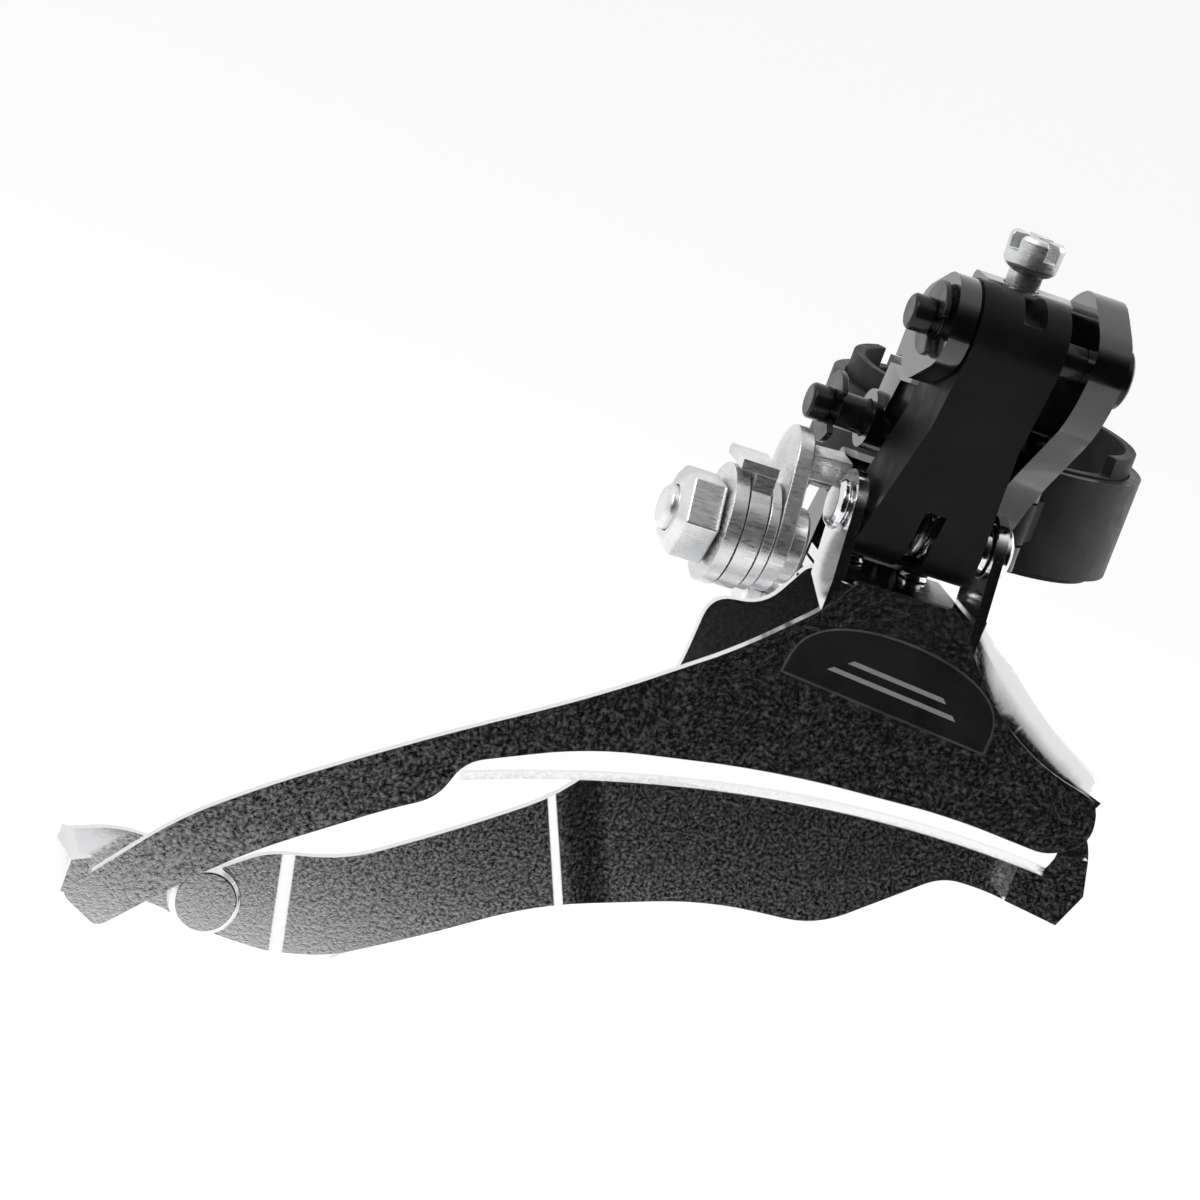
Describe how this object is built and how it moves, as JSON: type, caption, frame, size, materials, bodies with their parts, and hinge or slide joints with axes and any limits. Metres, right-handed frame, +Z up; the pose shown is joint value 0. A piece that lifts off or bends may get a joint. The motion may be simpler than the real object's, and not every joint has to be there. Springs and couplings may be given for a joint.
{
  "type": "front derailleur",
  "caption": "Clamp-on front derailleur: seat tube clamp, spring-loaded four-pivot linkage, cable anchor, limit screws and a pressed chain cage.",
  "frame": {"origin": "centre of the seat tube clamp, on the tube's axis at half the band's height", "axes": "+Z up along the seat tube, +X forward, -Y outboard towards the chainrings"},
  "size_m": [0.1111, 0.0843, 0.1003],
  "materials": {
    "chrome_plate": "chrome plated pressed steel with a fine satin grain on its flat faces",
    "zinc_plate": "dull bright zinc plated steel",
    "black_enamel": "glossy black enamel",
    "black_satin": "satin black paint",
    "black_plastic": "satin moulded black nylon",
    "black_oxide": "oil-blackened steel",
    "spring_steel": "drawn spring wire",
    "shim_plastic": "matte black moulded shim"
  },
  "bodies": {
    "body": {"body_bracket": "black_enamel", "fixed_clamp_half": "black_satin", "clamp_shim_rear": "shim_plastic", "clamp_shim_front": "shim_plastic", "band_hinge_pin": "black_oxide", "upper_outer_pin": "black_oxide", "upper_outer_clip": "black_oxide", "upper_inner_pin": "black_oxide", "upper_inner_clip": "black_oxide"},
    "band": {"clamp_band": "black_satin"},
    "clamp_screw": {"clamp_bolt": "black_oxide", "clamp_bolt_washer": "zinc_plate"},
    "clamp_nut": {"clamp_nut": "zinc_plate"},
    "low_screw": {"low_limit_screw": "zinc_plate"},
    "high_screw": {"high_limit_screw": "zinc_plate"},
    "outer_link": {"outer_link": "black_plastic", "return_spring": "spring_steel", "link_bush_front": "chrome_plate"},
    "inner_link": {"inner_link": "black_enamel", "cable_arm": "zinc_plate", "cable_arm_rivet": "zinc_plate", "anchor_bolt": "zinc_plate", "cable_clamp_plate": "zinc_plate", "anchor_ring": "zinc_plate"},
    "anchor_nut": {"anchor_nut": "zinc_plate", "anchor_washer": "zinc_plate"},
    "cage": {"outer_cage_plate": "chrome_plate", "inner_cage_plate": "chrome_plate", "tail_rivet": "chrome_plate", "bridge_rivet_1": "chrome_plate", "bridge_rivet_2": "chrome_plate", "lower_outer_pin": "chrome_plate", "lower_inner_pin": "chrome_plate"}
  },
  "joints": [
    {"name": "link_swing", "type": "hinge", "parent": "body", "child": "outer_link", "pos_m": [-0.0172, -0.0488, 0.0226], "axis": [-1, 0, 0], "range_deg": [0, 42], "stiffness_Nm_per_rad": 0.25, "springref_deg": -45.84, "deforming": ["return_spring"]},
    {"name": "cage_pivot", "type": "hinge", "parent": "outer_link", "child": "cage", "pos_m": [-0.0172, -0.04239, -0.00053], "axis": [-1, 0, 0], "range_deg": [-42, 0]},
    {"name": "inner_link_swing", "type": "hinge", "parent": "body", "child": "inner_link", "pos_m": [-0.0172, -0.033, 0.0076], "axis": [-1, 0, 0], "range_deg": [0, 42]},
    {"name": "low_limit_travel", "type": "slide", "parent": "body", "child": "low_screw", "axis": [0, 0, 1], "range_m": [-0.0015, 0.0025]},
    {"name": "high_limit_travel", "type": "slide", "parent": "body", "child": "high_screw", "axis": [0, 0, 1], "range_m": [-0.0005, 0.0025]},
    {"name": "anchor_nut_travel", "type": "slide", "parent": "inner_link", "child": "anchor_nut", "axis": [-1, 0, 0], "range_m": [0, 0.001]},
    {"name": "band_hinge", "type": "hinge", "parent": "body", "child": "band", "pos_m": [-0.0006, -0.0214, 0], "axis": [0, 0, -1], "range_deg": [0, 2]},
    {"name": "clamp_bolt_travel", "type": "slide", "parent": "body", "child": "clamp_screw", "axis": [-1, 0, 0], "range_m": [0, 0.002]},
    {"name": "clamp_nut_travel", "type": "slide", "parent": "body", "child": "clamp_nut", "axis": [1, 0, 0], "range_m": [0, 0.0025]}
  ],
  "couplings": [
    {"joint": "cage_pivot", "follows": "link_swing", "ratio": -1},
    {"joint": "inner_link_swing", "follows": "link_swing", "ratio": 1},
    {"joint": "clamp_nut_travel", "follows": "band_hinge", "m_per_rad": 0.05}
  ]
}
